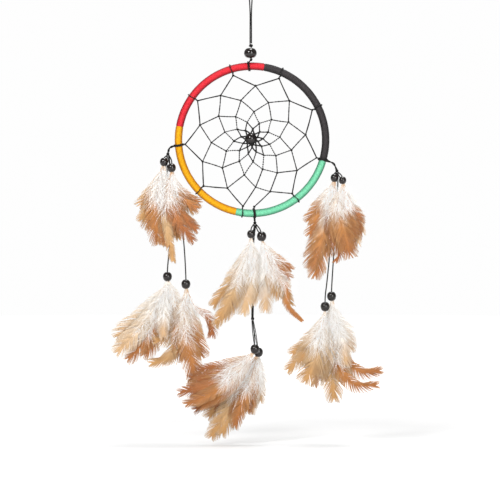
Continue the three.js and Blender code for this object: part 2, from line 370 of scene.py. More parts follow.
# Beads: a turned barrel with a bore, spun from its half profile.
def turnedBead(name, node, body, bore):
    low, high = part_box(node)
    centre, radius, half = (low + high) / 2, (high.x - low.x) / 2, (high.z - low.z) / 2
    steps, inside, lip = turning["steps"], half * turning["inside"], half * turning["lip"]
    profile = [(bore, -inside), (bore, -lip)]
    for i in range(steps + 1):
        bulge = math.pi * (i / steps - 0.5) * turning["sweep"]
        out = bore + (radius - bore) * math.cos(bulge)
        profile.append((out, half * math.sin(bulge) / math.sin(math.pi * turning["sweep"] / 2)))
    profile += [(bore, lip), (bore, inside)]
    bm = bmesh.new()
    corners = [bm.verts.new((x, 0, z)) for x, z in profile]
    edges = [bm.edges.new(pair) for pair in zip(corners, corners[1:])]
    edges.append(bm.edges.new((corners[-1], corners[0])))
    bmesh.ops.spin(bm, geom=corners + edges, cent=(0, 0, 0), axis=(0, 0, 1), angle=math.tau,
                   steps=turning["spin"], use_merge=True)
    bmesh.ops.remove_doubles(bm, verts=bm.verts, dist=radius * 0.01)
    bmesh.ops.recalc_face_normals(bm, faces=bm.faces)
    bmesh.ops.translate(bm, verts=bm.verts, vec=centre)
    bead = newPiece(name, bm, woodFinish, body)
    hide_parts(node)
    return bead


wound = {"middle": 0.52, "swing": 0.42, "tilt": 2.3}  # parts of the knot's size


def woundKnot(centre, size, cordRadius, stations=24, sides=6, turn=0.0):
    line = []
    for i in range(stations):
        t = math.tau * i / stations
        out = wound["middle"] + wound["swing"] * math.cos(3 * t)
        line.append(Vector((out * math.cos(2 * t), wound["swing"] * math.sin(3 * t), out * math.sin(2 * t))))
    turned = Matrix.Rotation(turn, 3, "Y") @ Matrix.Rotation(turn * wound["tilt"], 3, "X")
    line = [Vector(centre) + turned @ p * (size - cordRadius) for p in line]
    return sweptCord(line, cordRadius, sides=sides, plies=2, closed=True)


def replaceCords(name, parts, node, body):
    piece = newPiece(name, gather(parts), cordFinish, body)
    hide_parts(node)
    return piece


# The hanging loop and the long strands come first, because they are free cords.
cordSizes = {
    "radius": 0.54, "stations": 160, "pathPoints": 30,
    "step": 1.2, "spread": 0.8, "gap": 0.3, "pairGap": 0.45,
}
knotRadius = 1.4
lowerPlane = 2  # how far behind the hoop's middle the long strands hang
loopShape = {
    "middle": 0.2, "length": 92,
    "strand": [(0.52, -45.4), (0.52, -36), (0.52, -22), (1.1, -10), (1.6, -4)],
    "top": (0, -0.5),
}


def looseCord(name, points, node, body, length):
    points = [Vector(p) * mm for p in points]
    line = smoothRoute(points, cordSizes["stations"])
    path = smoothRoute(points, cordSizes["pathPoints"])
    piece = newPiece(name, sweptCord(line, cordSizes["radius"] * mm), cordFinish, body)
    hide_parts(node)
    length * mm
    return piece


def makeHangingLoop(shape):
    half = [(x + shape["middle"], 0, z) for x, z in shape["strand"]]
    other = [(shape["middle"] * 2 - x, 0, z) for x, _, z in half]
    top = (shape["middle"] + shape["top"][0], 0, shape["top"][1])
    looseCord("hanging_loop_cord", [*other, top, *reversed(half)], "hang_cord", "hanging_loop",
              shape["length"])


makeHangingLoop(loopShape)

# Knots of the three drops, and the long strands' routes between knot and bead.
drops = {
    "left": {
        "knot": (-63.9, -131.2),
        "tie": [(-60.6, -124.6), (-62.6, -126.4), (-63.6, -129.2)],
        "long": [
            {"side": -1, "via": [(-64.6, -142), (-63.6, -170), (-62.8, -199)],
             "bead": (-64.4, 2, -226), "length": 95},
            {"side": 1, "via": [(-62, -142), (-56, -172), (-52, -197)],
             "bead": (-50.1, 2, -231.8), "length": 101},
        ],
    },
    "right": {
        "knot": (66.9, -144.1),
        "tie": [(60.9, -136.7), (64.2, -138.4), (66.2, -142.2)],
        "long": [
            {"side": 1, "via": [(67.6, -156), (65.6, -190), (64.4, -210)],
             "bead": (62.8, 2, -241.2), "length": 97},
            {"side": -1, "via": [(65.2, -156), (62.4, -190), (61.2, -210), (59, -232), (58, -240)],
             "bead": (57.8, 2, -249.2), "length": 105},
        ],
    },
    "centre": {
        "knot": (3.4, -184.4),
        "tie": [(3.0, -181.7), (3.2, -182.1), (3.3, -182.6)],
        "pair": {"via": [(2.0, -200), (1.8, -230), (1.7, -245)], "split": (1.5, -259.8), "length": 72,
                 "knotSize": 1.65, "knotCord": 0.46, "knotLift": 0.5, "knotGap": 2},
        "long": [
            {"side": -1, "via": [(1.2, -264), (1.6, -271)], "bead": (3.4, -1.8, -282)},
            {"side": 1, "via": [(2.6, -264), (4.2, -272)], "bead": (6.2, 6.2, -284.8)},
        ],
    },
}
beadRadius = 3.7
beadBore = 0.9 * mm


def underKnot(knot, side, depth):
    return (knot[0] + side * cordSizes["spread"], depth, knot[1] - knotRadius - cordSizes["gap"])


def strandEnd(bead):
    return [(bead[0], bead[1], bead[2] + beadRadius + 1), bead]


def makeLongStrands(name, drop):
    for index, strand in enumerate(drop["long"], 1):
        route = [underKnot(drop["knot"], strand["side"], cordSizes["step"])]
        route += [(x, lowerPlane, z) for x, z in strand["via"]] + strandEnd(strand["bead"])
        body = f"{name}_lower_{index}"
        bead = turnedBead(f"{name}_bead_lower_{index}", f"{name}_lower_bead_{index}", body,
                          beadBore)
        looseCord(f"{name}_long_strand_{index}", route, f"{name}_lower_strand_{index}", body,
                  strand["length"])


for dropName in ("left", "right"):
    makeLongStrands(dropName, drops[dropName])
print("free cords made")


# The doubled cord of the centre drop is two strands side by side.
def makeCentrePair(drop):
    pair = drop["pair"]
    knot, split = drop["knot"], pair["split"]
    top = underKnot(knot, 0, cordSizes["step"])
    middle = middleOf("centre_split_knot") + Vector((0, 0, pair["knotLift"] * mm))
    knotCords = woundKnot(middle, pair["knotSize"] * mm, pair["knotCord"] * mm, 48, 8, 0.3)
    splitKnot = replaceCords("centre_split_knot_cords", [knotCords], "centre_split_knot", "centre_pair")
    for index, side in enumerate((-1, 1), 1):
        offset = side * cordSizes["pairGap"]
        route = [(top[0] + offset, top[1], top[2])]
        route += [(x + offset, lowerPlane, z) for x, z in pair["via"]]
        route.append((split[0] + offset, lowerPlane, split[1] + pair["knotGap"]))
        looseCord(f"centre_pair_strand_{index}", route, "centre_pair_cord", "centre_pair", pair["length"])


makeCentrePair(drops["centre"])


# Hoop: thread wound round and round the steel ring, one colour after the other.
hoop = {
    "x": 1.2, "z": -120, "path": 56.95, "tube": 3.04,
    # The last exponent on the next line shapes the painted shade at the rims of the thread.
    "pitch": 0.52, "sides": 28, "ringsPerTurn": 4, "ridge": 0.24, "ridgeCurve": 0.6, "edgeCurve": 1.5,
    "thinner": -0.05, "thicker": 0.04, "sunk": 0.04, "endSize": 0.9, "endTaper": 12,
}
# Thread colours: the core, a painted shade for the inner and outer rims, and a darker colour for random turn
# tone and painted groove shade.
windings = {
    "red": {"from": 80.6, "to": 169.6, "core": (0.7, 0.028, 0.042), "edge": (0.09, 0.002, 0.005),
            "toneAndGrooveShade": (0.22, 0.004, 0.01)},
    "yellow": {"from": 169.6, "to": 257.4, "core": (0.75, 0.385, 0.004), "edge": (0.26, 0.07, 0.002),
               "toneAndGrooveShade": (0.38, 0.12, 0.003)},
    "green": {"from": 257.4, "to": 343.3, "core": (0.2, 0.62, 0.38), "edge": (0.02, 0.11, 0.06),
              "toneAndGrooveShade": (0.04, 0.22, 0.13)},
    "black": {"from": 343.3, "to": 440.6, "core": (0.045, 0.04, 0.042), "edge": (0.008, 0.007, 0.007),
              "toneAndGrooveShade": (0.006, 0.005, 0.005)},
}


def onHoop(radius, angle):
    return Vector((hoop["x"] + radius * math.cos(angle), 0, hoop["z"] + radius * math.sin(angle))) * mm


def windSleeve(colour, winding):
    start, end = math.radians(winding["from"]), math.radians(winding["to"])
    turns = round((end - start) * hoop["path"] / hoop["pitch"])
    rings = turns * hoop["ringsPerTurn"]
    chance = random.Random(colour)
    thick = [chance.uniform(hoop["thinner"], hoop["thicker"]) for _ in range(turns + 3)]
    tone = [chance.random() for _ in range(turns + 3)]
    bm = unitRod(hoop["sides"], rings)
    layer = bm.verts.layers.float_vector.new("turn")
    for v in bm.verts:
        around = math.atan2(v.co.y, v.co.x)
        turn = v.co.z * turns + around / math.tau + 0.5
        ridge = abs(math.sin(math.pi * turn)) ** hoop["ridgeCurve"]
        closing = min(1.0, hoop["endTaper"] * min(v.co.z, 1 - v.co.z) + hoop["endSize"])
        radius = (hoop["tube"] - hoop["ridge"] * (1 - ridge) + thick[int(turn)] - hoop["sunk"]) * closing
        angle = start + (end - start) * v.co.z
        outward = Vector((math.cos(angle), 0, math.sin(angle)))
        # Turn attribute: ridge height (its valleys get painted groove shade), the painted rim shade mask, and
        # a random tone per turn.
        v[layer] = (ridge, abs(math.cos(around)) ** hoop["edgeCurve"], tone[int(turn)])
        across = outward * math.cos(around) + front * math.sin(around)
        v.co = onHoop(hoop["path"], angle) + across * radius * mm
    bmesh.ops.recalc_face_normals(bm, faces=bm.faces)
    finish = satinThread(f"{colour}Thread", winding["core"], winding["edge"], winding["toneAndGrooveShade"])
    sleeve = newPiece(f"winding_{colour}", bm, finish, "hoop")
    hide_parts(f"wrap_{colour}")


for colour, winding in windings.items():
    windSleeve(colour, winding)
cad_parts["hoop_core"].material_slots[0].material = steel()
print("hoop wound")


# Web: knots caught on the round before, drawn in towards the middle.
web = {
    "radius": 0.54, "innerRadius": 0.64, "hitchRadius": 51.9, "perRound": 9,
    "hitches": [-88.2, -53.2, -15.6, 26.3, 66.3, 106.3, 144.4, 183.9, 223.6, 262.2],
    "pulls": [0.857, 0.8, 0.734, 0.684, 0.65, 0.585, 0.64],
    "knotSize": 1.15, "sag": 0.25, "linkSteps": 6,
    "hitchThread": 0.42, "hitchSpread": 0.6, "ringStations": 44, "ringLean": 0.6, "ringClear": 0.1,
    "collar": (4.15, 3.85), "collarWave": 0.3, "collarThread": 0.55, "collarDepths": (-0.5, 0.5),
}


def tubeRing(angle, cordRadius, spread):
    centre = onHoop(hoop["path"], angle)
    tangent = Vector((-math.sin(angle), 0, math.cos(angle)))
    outward = Vector((math.cos(angle), 0, math.sin(angle)))
    radius = (hoop["tube"] + web["ringClear"]) * mm + cordRadius
    line = []
    for i in range(web["ringStations"]):
        t = math.tau * i / web["ringStations"]
        lean = tangent * math.sin(t + web["ringLean"]) * spread
        line.append(centre + (outward * math.cos(t) + front * math.sin(t)) * radius + lean)
    return sweptCord(line, cordRadius, sides=8, plies=2, closed=True)


def webKnots():
    knots = [onHoop(web["hitchRadius"], math.radians(a)) for a in web["hitches"]]
    middle = onHoop(0, 0)
    for pull in web["pulls"]:
        for _ in range(web["perRound"]):
            caught = len(knots) - len(web["hitches"])
            half = (knots[caught] + knots[caught + 1]) / 2
            knots.append(middle + (half - middle) * pull)
    return knots


def threadLink(a, b, seed, radius=web["radius"]):
    chance = random.Random(seed)
    sag = Vector((chance.uniform(-1, 1), chance.uniform(-1, 1), chance.uniform(-1, 1))) * web["sag"] * mm
    steps = web["linkSteps"]
    line = [a.lerp(b, i / steps) + sag * math.sin(math.pi * i / steps) for i in range(steps + 1)]
    return sweptCord(line, radius * mm, sides=8, plies=2)


# The last rounds of thread are pulled tight round the bead.
def beadCollar(middle):
    wide, high = web["collar"]
    line = []
    for i in range(36):
        t = math.tau * i / 36
        wave = web["collarWave"] * math.sin(3 * t)
        line.append(middle + Vector((wide * math.cos(t), wave, high * math.sin(t))) * mm)
    return sweptCord(line, web["collarThread"] * mm, sides=8, plies=2, closed=True)


def makeWeb():
    knots = webKnots()
    parts = []
    hitches = len(web["hitches"])
    for i in range(len(knots) - 1):
        corners = [knots[i], *knots[i + hitches:i + hitches + 1], knots[i + 1]]
        radius = web["radius"] if i < hitches + 2 * web["perRound"] else web["innerRadius"]
        parts += [threadLink(a, b, i, radius) for a, b in zip(corners, corners[1:])]
    for i, knot in enumerate(knots):
        parts.append(woundKnot(knot, web["knotSize"] * mm, web["radius"] * 0.9 * mm, turn=i * 1.7))
    for degrees in web["hitches"]:
        angle = math.radians(degrees)
        parts.append(tubeRing(angle, web["hitchThread"] * mm, web["hitchSpread"] * mm))
        rim = onHoop(hoop["path"] - hoop["tube"] - 0.2, angle)
        parts.append(threadLink(onHoop(web["hitchRadius"], angle), rim, 7))
    bead = middleOf("web_bead")
    inner = sorted(knots[-web["perRound"]:], key=lambda k: -k.z)
    parts.append(threadLink(inner[0], bead, 3))
    parts.append(threadLink(bead, inner[-1], 4))
    for depth in web["collarDepths"]:
        parts.append(beadCollar(bead + Vector((0, depth * mm, 0))))
    threads = newPiece("web_threads", gather(parts), cordFinish, "hoop")
    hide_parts("web_thread")


makeWeb()
print("web knotted")


# Hanger: knot, bead, short cord through it and the hitch round the hoop.
hanger = {
    "hitchX": -1.2, "hitchThread": 0.42 * mm, "hitchSpread": 0.4 * mm, "hitchAngles": (-0.008, 0.008),
    "beadBore": 1.7 * mm, "strand": 0.42 * mm, "strandGap": 0.45 * mm,
    "knotSize": 1.9 * mm, "knotCord": 0.5 * mm,
    "lowerKnot": (0.5, 0, -58), "lowerSize": 1.35 * mm, "lowerCord": 0.4 * mm,
}


def makeHanger():
    topKnot = middleOf("hang_top_knot")
    parts = [woundKnot(topKnot, hanger["knotSize"], hanger["knotCord"], 60, 10, 0.4)]
    replaceCords("hanger_top_knot", parts, "hang_top_knot", "hanging_loop")
    turnedBead("hanger_bead", "hang_bead", "hanger_bead", hanger["beadBore"])
    low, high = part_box("bead_cord")
    line = smoothRoute([(low + high) / 2 + Vector((0, 0, s * (high.z - low.z) / 2)) for s in (1, 0, -1)], 16)
    twins = []
    for side in (-1, 1):
        offset = Vector((side * hanger["strandGap"], 0, 0))
        twins.append(sweptCord([p + offset for p in line], hanger["strand"], sides=10))
    replaceCords("hanger_bead_cord", twins, "bead_cord", "hanger_bead")
    knot = Vector(hanger["lowerKnot"]) * mm
    top = math.pi / 2 - (hanger["hitchX"] - hoop["x"]) / hoop["path"]
    hitch = [woundKnot(knot, hanger["lowerSize"], hanger["lowerCord"], 48, 8, 1.1)]
    for turn in hanger["hitchAngles"]:
        hitch.append(tubeRing(top + turn, hanger["hitchThread"], hanger["hitchSpread"]))
    hitch.append(threadLink(knot, onHoop(hoop["path"] + hoop["tube"], top), 5))
    replaceCords("hanger_hitch", hitch, "hoop_hitch", "hitch")


makeHanger()
print("hanger made")


# Ties and knots of the drops.
tie = {
    "strand": 0.5 * mm, "twist": 0.42 * mm, "turns": 1.3, "knotSize": 1.75 * mm, "knotCord": 0.5 * mm,
    "ringAngles": (-0.009, 0.007), "ringSpread": 0.5 * mm,
}


def twistedPair(line, frames):
    strands = []
    for half in (0, math.pi):
        turned = []
        for i, (spot, (_, side, up)) in enumerate(zip(line, frames)):
            angle = half + tie["turns"] * math.tau * i / len(line)
            turned.append(spot + (side * math.cos(angle) + up * math.sin(angle)) * tie["twist"])
        strands.append(sweptCord(turned, tie["strand"], sides=10))
    return strands


def makeTies(name, drop, onBody, knotBody):
    knot = middleOf(f"{name}_knot")
    start = Vector((drop["tie"][0][0], 0, drop["tie"][0][1])) * mm
    angle = math.atan2(start.z - hoop["z"] * mm, start.x - hoop["x"] * mm)
    route = [onHoop(hoop["path"] + hoop["tube"] - 0.3, angle)]
    route += [Vector((x, 0, z)) * mm for x, z in drop["tie"][1:]] + [knot]
    line = smoothRoute(route, 24)
    replaceCords(f"{name}_tie_cords", twistedPair(line, steadyFrames(line)), f"{name}_tie", onBody)
    rings = gather([tubeRing(angle + turn, tie["strand"], tie["ringSpread"]) for turn in tie["ringAngles"]])
    newPiece(f"{name}_tie_ring", rings, cordFinish, "hoop")
    replaceCords(f"{name}_drop_knot", [woundKnot(knot, tie["knotSize"], tie["knotCord"], 60, 10, 0.9)],
                 f"{name}_knot", knotBody)


makeTies("left", drops["left"], "left_tie", "left_upper")
makeTies("right", drops["right"], "right_tie", "right_upper")
makeTies("centre", drops["centre"], "centre_tie", "centre_tie")


loops = {"apart": 0.2, "widest": 0.45, "lift": 0.3, "thin": 0.95, "stations": 24,
         "upperBulge": 1.1, "splitBulge": 0.5, "splitStarts": [(1.2, 1.6, -259.8), (1.9, 2.4, -259.8)]}


# A short loop of cord from a knot down into a bead.
def shortLoop(name, start, bead, node, body, bulge):
    sides = []
    for side in (-1, 1):
        bowed = Vector((side * bulge, loops["lift"] * side, loops["lift"])) * mm
        top = start + Vector((side * loops["apart"] * mm, 0, 0))
        line = smoothRoute([top, start.lerp(bead, loops["widest"]) + bowed, bead], loops["stations"])
        sides.append(sweptCord(line, cordSizes["radius"] * loops["thin"] * mm, sides=10))
    replaceCords(name, sides, node, body)


def makeBeads(name, drop):
    knot = drop["knot"]
    for index, side in ((1, -1), (2, 1)):
        bead = f"{name}_upper_bead_{index}"
        start = Vector(underKnot(knot, side, -cordSizes["step"])) * mm + Vector((0, 0, 0.0006))
        shortLoop(f"{name}_short_loop_{index}", start, middleOf(bead), f"{name}_upper_strand_{index}",
                  f"{name}_upper", loops["upperBulge"])
        turnedBead(f"{name}_bead_upper_{index}", bead, f"{name}_upper", beadBore)


for name, drop in drops.items():
    makeBeads(name, drop)
for index, start in enumerate(loops["splitStarts"], 1):
    turnedBead(f"centre_bead_lower_{index}", f"centre_lower_bead_{index}", f"centre_lower_{index}",
               beadBore)
    shortLoop(f"centre_split_loop_{index}", Vector(start) * mm, middleOf(f"centre_lower_bead_{index}"),
              f"centre_lower_strand_{index}", f"centre_lower_{index}", loops["splitBulge"])
turnedBead("web_centre_bead", "web_bead", "hoop", beadBore)
print("beads and knots made")


# Feathers. A barb is one thin tapered sliver; its copies are laid along both sides of a shaft.
plumes = {
    "ginger": {"base": (0.8, 0.68, 0.54), "middle": (0.53, 0.235, 0.07), "tip": (0.38, 0.14, 0.035),
               "rim": (0.66, 0.4, 0.18)},
    "russet": {"base": (0.72, 0.52, 0.34), "middle": (0.46, 0.18, 0.055), "tip": (0.33, 0.11, 0.03),
               "rim": (0.52, 0.27, 0.11)},
    "sand": {"base": (0.88, 0.83, 0.76), "middle": (0.76, 0.6, 0.43), "tip": (0.62, 0.4, 0.21),
             "rim": (0.84, 0.73, 0.58), "streak": 0.3},
    "beige": {"base": (0.86, 0.8, 0.72), "middle": (0.64, 0.43, 0.23), "tip": (0.52, 0.28, 0.1),
              "rim": (0.74, 0.58, 0.4)},
    "pale": {"base": (0.88, 0.86, 0.83), "middle": (0.84, 0.78, 0.7), "tip": (0.6, 0.38, 0.2),
             "rim": (0.86, 0.82, 0.76)},
    # The white down carries a painted glow, an emission in place of light scattered through it.
    "white": {"base": (0.95, 0.94, 0.93), "middle": (0.94, 0.93, 0.91), "tip": (0.9, 0.87, 0.84),
              "rim": (0.95, 0.95, 0.94), "streak": 0.05, "paintedGlow": 0.14},
}
plumeFinish = {
    name: featherFinish(f"{name}Plume", p["base"], p["middle"], p["tip"], p["rim"], p.get("streak", 0.4),
                        p.get("paintedGlow", 0.0))
    for name, p in plumes.items()
}
barb = {"spacing": 0.34, "width": 0.27, "looseWidth": 0.4, "thick": 0.05, "levels": 5,
        "downLevels": 6, "downThick": 0.06}


def barbMesh(levels):
    bm = bmesh.new()
    bmesh.ops.create_cone(bm, cap_ends=True, segments=3, radius1=1, radius2=0.3, depth=1,
                          matrix=Matrix.Translation((0, 0, 0.5)))
    upright = [e for e in bm.edges if abs(e.verts[0].co.z - e.verts[1].co.z) > 0.5]
    bmesh.ops.subdivide_edges(bm, edges=upright, cuts=levels - 2, use_grid_fill=True)
    mesh = bpy.data.meshes.new("barb")
    bm.to_mesh(mesh)
    bm.free()
    return mesh


vaneBarb = barbMesh(barb["levels"])
downBarb = barbMesh(barb["downLevels"])


# Bends one barb from its straight shape: heading gives the direction at each level.
def layBarb(verts, root, levels, length, heading, flat, width, thick):
    spots, ways = [Vector(root)], []
    for level in range(levels):
        way = heading(level / (levels - 1)).normalized()
        ways.append(way)
        spots.append(spots[-1] + way * length / (levels - 1))
    for v in verts:
        level = round(v.co.z * (levels - 1))
        across = ways[level].cross(flat).normalized()
        v.co = spots[level] + across * (v.co.x * width) + flat * (v.co.y * thick)


def copies(template, count):
    bm = bmesh.new()
    for _ in range(count):
        bm.from_mesh(template)
    bm.verts.ensure_lookup_table()
    return bm


# A vane's barbs: their angle to the shaft in degrees, how it changes, and where the width opens.
vane = {
    "opens": 0.35, "openCurve": 0.7, "tipWidth": 0.01,
    "angle": 60, "closer": 24, "tipFrom": 0.82, "tipCloser": 18, "sway": 5, "split": 5, "splitWide": 0.05,
    "shaftStations": 48, "quill": 0.4, "quillTip": 0.08, "quillSides": 8,
}


# Half a vane's width along the shaft: opens from the bare quill, widest past the middle, rounded at the tip.
def vaneWidth(along, feather):
    opening = min(1.0, max(0.0, along - feather["bare"]) / vane["opens"])
    closing = max(0.0, (along - feather["fullest"]) / (1 - feather["fullest"]))
    return opening ** vane["openCurve"] * math.sqrt(max(vane["tipWidth"], 1 - closing ** 2))


# Slow, smooth wander from -1 to 1 along a feather.
def wander(chance, slow=3.0):
    phases = [(chance.uniform(0, math.tau), slow * f) for f in (1.0, 2.3, 5.1)]
    return lambda t: sum(math.sin(p + f * t * math.tau) / (n + 1.2) for n, (p, f) in enumerate(phases)) / 1.6


def layVane(feather, shaft, frames, chance):
    length = routeLength(shaft)
    count = int(length * (1 - feather["bare"]) / (barb["spacing"] * mm))
    bm = copies(vaneBarb, count * 2)
    layer = bm.verts.layers.float_vector.new("grain")
    size = len(vaneBarb.vertices)
    sway, lift, tone, reachOf = ([wander(chance, slow) for _ in range(2)] for slow in (2.0, 1.5, 4.0, 3.0))
    splits = [[chance.uniform(0.3, 0.95) for _ in range(feather["splits"])] for _ in range(2)]
    for k in range(count * 2):
        half, i = k % 2, k // 2
        along = feather["bare"] + (1 - feather["bare"]) * i / count
        spot = along * (len(shaft) - 1)
        at = min(int(spot), len(shaft) - 2)
        root = shaft[at].lerp(shaft[at + 1], spot - at)
        ahead = frames[at][0]
        normal = (front - ahead * front.dot(ahead)).normalized()
        normal.rotate(Matrix.Rotation(math.radians(feather["roll"]), 3, ahead))
        out = ahead.cross(normal) * (1, -1)[half]
        loose = chance.random() < feather["loose"] * (1.4 - along)
        wide = feather["width"][1 - half] * vaneWidth(along, feather) * (1 + 0.1 * reachOf[half](along))
        wide *= chance.uniform(0.93, 1.05) * (chance.uniform(0.9, 1.3) if loose else 1)
        gap = sum(max(0.0, 1 - abs(along - split) / vane["splitWide"]) * math.copysign(1, along - split)
                  for split in splits[half])
        narrowing = max(0.0, along - vane["tipFrom"]) / (1 - vane["tipFrom"])
        stray = chance.uniform(-5, 16) if loose else chance.uniform(-2, 2)
        angle = vane["angle"] - vane["closer"] * along - vane["tipCloser"] * narrowing
        opening = math.radians(angle + vane["sway"] * sway[half](along) - vane["split"] * gap + stray)
        closing = opening * (0.6 + 0.12 * sway[half](along) + (chance.uniform(-0.3, 0.4) if loose else 0))
        reach = max(0.001, wide * mm / math.sin((opening + closing) / 2 + 0.05))
        reach = min(reach, 0.0035 + (1 - along) * length * 1.2)
        curl = 0.45 if loose else 0.05
        cup = feather["cup"] + 0.22 * lift[half](along) + chance.uniform(-curl, curl)

        def heading(t):
            angle = opening + (closing - opening) * t
            return out * math.sin(angle) + ahead * math.cos(angle) + normal * (cup * (t - 0.3))

        shade = min(1.0, max(0.0, 0.45 + 0.4 * tone[half](along) + chance.uniform(-0.22, 0.22)))
        verts = bm.verts[k * size:(k + 1) * size]
        for v in verts:
            v[layer] = (along, v.co.z, shade)
        width = barb["width"] * (barb["looseWidth"] if loose else 1) * mm
        layBarb(verts, root, barb["levels"], reach, heading, normal, width, barb["thick"] * mm)
    return bm


def layQuill(shaft, frames):
    quill = unitRod(vane["quillSides"], len(shaft) - 1)
    layer = quill.verts.layers.float_vector.new("grain")
    for v in quill.verts:
        i = round(v.co.z * (len(shaft) - 1))
        radius = (vane["quill"] * (1 - i / len(shaft)) + vane["quillTip"]) * mm
        v[layer] = (0.35 + 0.5 * v.co.z, 0, 0.9)
        v.co = shaft[i] + (frames[i][1] * v.co.x + frames[i][2] * v.co.y) * radius
    return quill


# A feather, with shorter ones of the same bird tucked behind it.
def makeFeather(name, tuft, body, bead, feather, seed):
    chance = random.Random(seed)
    usual = {"bare": 0.1, "fullest": 0.62, "roll": 0, "cup": 0.15, "splits": 2, "loose": 0.25, "behind": 2}
    feather = {**usual, **feather}
    parts = []
    for nth in range(1 + feather["behind"]):
        route = [Vector(p) for p in feather["route"]]
        if nth:
            shorter = chance.uniform(0.74, 0.92)
            turn = Matrix.Rotation(math.radians(chance.uniform(4, 9) * (-1) ** nth), 3, "Y")
            sink = Vector((0, chance.uniform(0.8, 2.4), 0))
            route = [turn @ (p * shorter) + sink * (i > 0) for i, p in enumerate(route)]
        shaft = smoothRoute([bead + p * mm for p in route], vane["shaftStations"])
        frames = steadyFrames(shaft)
        turned = {**feather, "roll": feather["roll"] + chance.uniform(-18, 18)}
        parts += [layVane(turned, shaft, frames, chance), layQuill(shaft, frames)]
    whole = gather(parts)
    bmesh.ops.recalc_face_normals(whole, faces=whole.faces)
    piece = newPiece(name, whole, plumeFinish[feather["finish"]], body)
    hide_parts(tuft)


# Down: long soft curling barbs that spring from the upper part of every shaft, all round.
def makeDown(name, tuft, body, bead, down, routes, seed):
    chance = random.Random(seed)
    count = down["count"]
    bm = copies(downBarb, count)
    layer = bm.verts.layers.float_vector.new("grain")
    size = len(downBarb.vertices)
    lines = [smoothRoute([bead + Vector(p) * mm for p in route], 40) for route in routes]
    for k in range(count):
        line = lines[chance.randrange(len(lines))]
        place = chance.uniform(0.06, down["reach"]) ** 1.1
        at = min(int(place * 39), 38)
        root, ahead = line[at], (line[at + 1] - line[at]).normalized()
        turn = chance.uniform(0, math.tau)
        side = ahead.orthogonal().normalized()
        side.rotate(Matrix.Rotation(turn, 3, ahead))
        side.y *= down["depth"]
        opening = math.radians(chance.uniform(35, 95))
        curl = chance.uniform(-1.1, 1.1)
        wave = chance.uniform(0, math.tau)
        swing = ahead.cross(side)
        length = down["length"] * mm * chance.uniform(0.45, 1.15) * (0.3 + 0.8 * min(1.0, place / 0.35))

        def heading(t):
            angle = opening * (1 - 0.55 * t)
            bend = curl * t + 0.3 * math.sin(wave + 7 * t)
            return side * math.sin(angle) + ahead * math.cos(angle) + swing * bend + Vector((0, 0, -0.35 * t))

        verts = bm.verts[k * size:(k + 1) * size]
        tone = chance.random()
        for v in verts:
            v[layer] = (chance.random() * 0.3, v.co.z, tone)
        flat = swing.cross(ahead).normalized()
        layBarb(verts, root, barb["downLevels"], length, heading, flat, down["fine"] * mm,
                barb["downThick"] * mm)
    bmesh.ops.recalc_face_normals(bm, faces=bm.faces)
    piece = newPiece(name, bm, plumeFinish["white"], body)
    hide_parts(tuft)


def fluff(count, reach, length, depth):
    return {"count": count, "reach": reach, "length": length, "depth": depth, "fine": 0.13}


def plume(finish, route, left, right, **more):
    depths = more.pop("depth", (0, 0, 0, 0, 0, 0))
    points = [(x, d, z) for (x, z), d in zip(route, depths)]
    return {"finish": finish, "route": points, "width": (left, right), **more}


